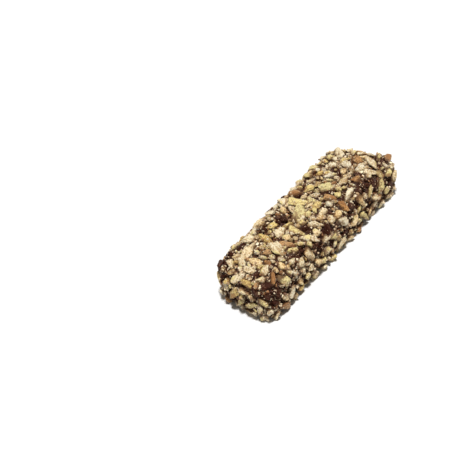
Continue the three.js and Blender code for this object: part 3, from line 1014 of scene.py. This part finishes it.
class ToffeeCoatSettings(bpy.types.PropertyGroup):
    length: bpy.props.FloatProperty(
        name="Length", description="Length of the coated bar, without its nuts",
        default=73.6 * MM, min=20 * MM, unit="LENGTH", subtype="DISTANCE",
    )
    width: bpy.props.FloatProperty(
        name="Width", description="Width of the coated bar, without its nuts",
        default=23 * MM, min=12 * MM, unit="LENGTH", subtype="DISTANCE",
    )
    height: bpy.props.FloatProperty(
        name="Height", description="Height of the coated bar, without its nuts",
        default=14.6 * MM, min=10 * MM, unit="LENGTH", subtype="DISTANCE",
    )
    edge_radius: bpy.props.FloatProperty(
        name="Edge radius", description="Rounding of the bar's edges",
        default=4.2 * MM, min=1 * MM, unit="LENGTH", subtype="DISTANCE",
    )
    chocolate: bpy.props.FloatVectorProperty(
        name="Chocolate", description="Colour of the chocolate",
        default=(0.029, 0.0072, 0.0030), min=0, max=1, subtype="COLOR",
    )


class ToffeeNutSettings(bpy.types.PropertyGroup):
    tried: bpy.props.IntProperty(
        name="Scattered nuts", description="Nuts that are tried on the top, the sides and the ends",
        default=1900, min=0,
    )
    tried_below: bpy.props.IntProperty(
        name="Nuts below", description="Nuts that are tried on the underside",
        default=320, min=0,
    )
    largest_radius: bpy.props.FloatProperty(
        name="Largest radius", description="Mean radius of the largest scattered nut",
        default=1.7 * MM, min=0.5 * MM, unit="LENGTH", subtype="DISTANCE",
    )
    crumbs: bpy.props.IntProperty(
        name="Crumbs", description="Crumbs that are scattered over the coat",
        default=10000, min=0,
    )
    dust: bpy.props.IntProperty(
        name="Crumbs on a nut", description="Fine crumbs that are tried on each nut",
        default=24, min=0,
    )
    pale: bpy.props.FloatVectorProperty(
        name="Pale nut", description="Lightest colour of the pale nuts",
        default=(0.705, 0.61, 0.415), min=0, max=1, subtype="COLOR",
    )
    golden: bpy.props.FloatVectorProperty(
        name="Golden nut", description="Lightest colour of the golden nuts",
        default=(0.66, 0.545, 0.235), min=0, max=1, subtype="COLOR",
    )
    tan: bpy.props.FloatVectorProperty(
        name="Darker nut", description="Darkest colour of the pale and golden nuts",
        default=(0.31, 0.195, 0.08), min=0, max=1, subtype="COLOR",
    )
    toasted: bpy.props.FloatVectorProperty(
        name="Toasted nut", description="Lightest colour of the toasted nuts",
        default=(0.47, 0.26, 0.105), min=0, max=1, subtype="COLOR",
    )
    skin: bpy.props.FloatVectorProperty(
        name="Nut skin", description="Colour of the skin that is left on some nuts",
        default=(0.24, 0.105, 0.034), min=0, max=1, subtype="COLOR",
    )


class ToffeeStageSettings(bpy.types.PropertyGroup):
    floor: bpy.props.FloatVectorProperty(
        name="Table", description="Colour of the table top",
        default=(0.59, 0.59, 0.59), min=0, max=1, subtype="COLOR",
    )
    key: bpy.props.FloatProperty(
        name="Key light", description="Strength of the large soft light above",
        default=5.15, min=0, subtype="FACTOR", soft_max=10,
    )
    sky: bpy.props.FloatProperty(
        name="Sky", description="Brightness of the even light all round",
        default=0.2, min=0, subtype="FACTOR", soft_max=2,
    )


# ------------------------------------------------------------------ operators

SMOOTH_CHOCOLATE = math.radians(60)  # edges of each piece that turn by more than this stay sharp
SMOOTH_NUT = math.radians(14)
SMOOTH_TABLE = math.radians(90)

# For each kind of uncoated nut: the settings of its lightest and darkest colour, the factor on the
# darkest, the setting of its skin's colour, and how far a point has to face the skin to have it.
LOOKS = {
    "pale": ("pale", "tan", 1.15, "golden", 0.75),
    "golden": ("golden", "tan", 1.0, "skin", 0.82),
    "toasted": ("toasted", "toasted", 0.3, "skin", 0.1),
}
CRUMB_LIGHT = 0.95  # factor on the pale nuts' colour for the lightest crumbs
CRUMB_DARK = 1.2  # and on the skin's for the darker ones


class TOFFEE_OT_coat(bpy.types.Operator):
    """Make the chocolate coat"""

    bl_idname = "toffee.coat"
    bl_label = "Chocolate coat"

    def execute(self, context):
        scene = context.scene
        points, quads = coat_mesh(*laid_out(scene))
        material = chocolate_material(scene.toffee_coat.chocolate)
        coat = mesh_piece("chocolate_coat", points, quads, {}, material, SMOOTH_CHOCOLATE)
        ride_with_slot(coat)
        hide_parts(NODE)
        return {"FINISHED"}


class TOFFEE_OT_nuts(bpy.types.Operator):
    """Make the chopped nuts, one piece for each kind"""

    bl_idname = "toffee.nuts"
    bl_label = "Chopped nuts"

    def execute(self, context):
        _, nuts = laid_out(context.scene)
        materials = [self.material_of(context.scene, kind) for kind in KINDS]
        for number, material in enumerate(materials):
            self.make_kind(nuts, number, material)
        return {"FINISHED"}

    def material_of(self, scene, kind):
        if kind == "coated":
            return chocolate_material(scene.toffee_coat.chocolate)
        light, dark, factor, skin, skin_from = LOOKS[kind]
        light, dark, skin = (getattr(scene.toffee_nuts, key) for key in (light, dark, skin))
        name = f"{kind.capitalize()} nut"
        return nut_material(name, shade(light), shade(dark, factor), skin, skin_from)

    def make_kind(self, nuts, number, material):
        rank, mine = nuts.rank[: nuts.count], nuts.kind[: nuts.count] == number
        sizes = {
            LARGE_STEPS: rank < LARGE_COUNT,
            MIDDLE_STEPS: (rank >= LARGE_COUNT) & (rank < MIDDLE_RANK),
            SMALL_STEPS: rank >= MIDDLE_RANK,
        }
        parts = [nut_mesh(nuts, np.flatnonzero(mine & of), steps) for steps, of in sizes.items()]
        points = np.concatenate([part[0] for part in parts])
        starts = np.cumsum([0] + [len(part[0]) for part in parts])
        quads = np.concatenate([part[1] + start for part, start in zip(parts, starts)])
        attributes = {
            key: np.concatenate([part[2][key].ravel() for part in parts]) for key in parts[0][2]
        }
        name = f"{KINDS[number]}_nuts"
        piece = mesh_piece(name, points, quads, attributes, material, SMOOTH_NUT)
        ride_with_slot(piece)


class TOFFEE_OT_crumbs(bpy.types.Operator):
    """Make the nut crumbs, between the nuts and on them"""

    bl_idname = "toffee.crumbs"
    bl_label = "Nut crumbs"

    def execute(self, context):
        scene = context.scene
        colours = scene.toffee_nuts
        light, dark = shade(colours.pale, CRUMB_LIGHT), shade(colours.skin, CRUMB_DARK)
        material = crumb_material(light, dark, scene.toffee_coat.chocolate)
        points, quads, attributes = crumb_mesh(*laid_out(scene), colours.crumbs, colours.dust)
        crumbs = mesh_piece("nut_crumbs", points, quads, attributes, material, SMOOTH_NUT)
        ride_with_slot(crumbs)
        return {"FINISHED"}


class TOFFEE_OT_stage(bpy.types.Operator):
    """Make the table top, the lights and the camera"""

    bl_idname = "toffee.stage"
    bl_label = "Stage"

    def execute(self, context):
        settings = context.scene.toffee_stage
        self.make_floor(settings)
        self.make_lights(context.scene, settings)
        self.make_camera(context.scene)
        return {"FINISHED"}

    def make_floor(self, settings):
        """A square sweep: flat in the middle, and rising as the square of the distance beyond."""
        shares, quads = box_lattice((FLOOR_STEPS, FLOOR_STEPS, 1))
        used = shares[:, 2] < 0
        quads = np.cumsum(used)[quads[used[quads].all(axis=1)]][:, ::-1] - 1
        points = FLOOR_HALF * shares[used]
        beyond = np.maximum(np.hypot(points[:, 0], points[:, 1]) - FLAT_REACH, 0)
        points[:, 2] = beyond**2 / SWEEP_LENGTH
        material = floor_material(settings.floor)
        mesh_piece("table_top", points, quads, {}, material, SMOOTH_TABLE)

    def make_lights(self, scene, settings):
        world = bpy.data.worlds.new("Studio")
        world.use_nodes = True
        background = world.node_tree.nodes["Background"]
        background.inputs["Color"].default_value = SKY_COLOUR
        background.inputs["Strength"].default_value = settings.sky
        scene.world = world
        lamp = bpy.data.lights.new("Key light", "SUN")
        lamp.energy = settings.key
        lamp.angle = KEY_SPREAD
        key = bpy.data.objects.new("Key light", lamp)
        key.location = KEY_PLACE
        key.rotation_euler = (-key.location).to_track_quat("-Z", "Y").to_euler()
        scene.collection.objects.link(key)

    def make_camera(self, scene):
        lens = bpy.data.cameras.new("Camera")
        lens.sensor_width = SENSOR
        lens.angle = math.radians(CAMERA_FIELD)
        lens.clip_start = 0.01
        lens.clip_end = 20
        camera = bpy.data.objects.new("Camera", lens)
        azimuth, elevation = math.radians(CAMERA_AZIMUTH), math.radians(CAMERA_ELEVATION)
        look = Matrix.Rotation(azimuth, 4, "Z") @ Matrix.Rotation(math.pi / 2 - elevation, 4, "X")
        roll = Matrix.Rotation(math.radians(CAMERA_ROLL), 4, "Z")
        camera.matrix_world = Matrix.Translation(Vector(CAMERA_PLACE) * MM) @ look @ roll
        scene.collection.objects.link(camera)
        scene.camera = camera
        scene.view_settings.view_transform = "Standard"


class TOFFEE_PT_panel(bpy.types.Panel):
    """Lists the settings and the operators"""

    bl_label = "English Toffee"
    bl_idname = "TOFFEE_PT_panel"
    bl_space_type = "VIEW_3D"
    bl_region_type = "UI"
    bl_category = "Toffee"

    def draw(self, context):
        for group, operators in GROUPS.items():
            box = self.layout.box()
            settings = getattr(context.scene, group)
            for key in settings.__annotations__:
                box.prop(settings, key)
            for operator in operators:
                box.operator(operator.bl_idname)


GROUPS = {
    "toffee_coat": [TOFFEE_OT_coat],
    "toffee_nuts": [TOFFEE_OT_nuts, TOFFEE_OT_crumbs],
    "toffee_stage": [TOFFEE_OT_stage],
}
SETTINGS = {
    "toffee_coat": ToffeeCoatSettings,
    "toffee_nuts": ToffeeNutSettings,
    "toffee_stage": ToffeeStageSettings,
}
CLASSES = [
    *SETTINGS.values(),
    TOFFEE_OT_coat,
    TOFFEE_OT_nuts,
    TOFFEE_OT_crumbs,
    TOFFEE_OT_stage,
    TOFFEE_PT_panel,
]


def register():
    for item in CLASSES:
        bpy.utils.register_class(item)
    for name, group in SETTINGS.items():
        setattr(bpy.types.Scene, name, bpy.props.PointerProperty(type=group))


def unregister():
    for name in SETTINGS:
        delattr(bpy.types.Scene, name)
    for item in reversed(CLASSES):
        bpy.utils.unregister_class(item)


def main():
    register()
    bpy.ops.toffee.stage()
    bpy.ops.toffee.coat()
    bpy.ops.toffee.nuts()
    bpy.ops.toffee.crumbs()


if __name__ == "__main__":
    main()
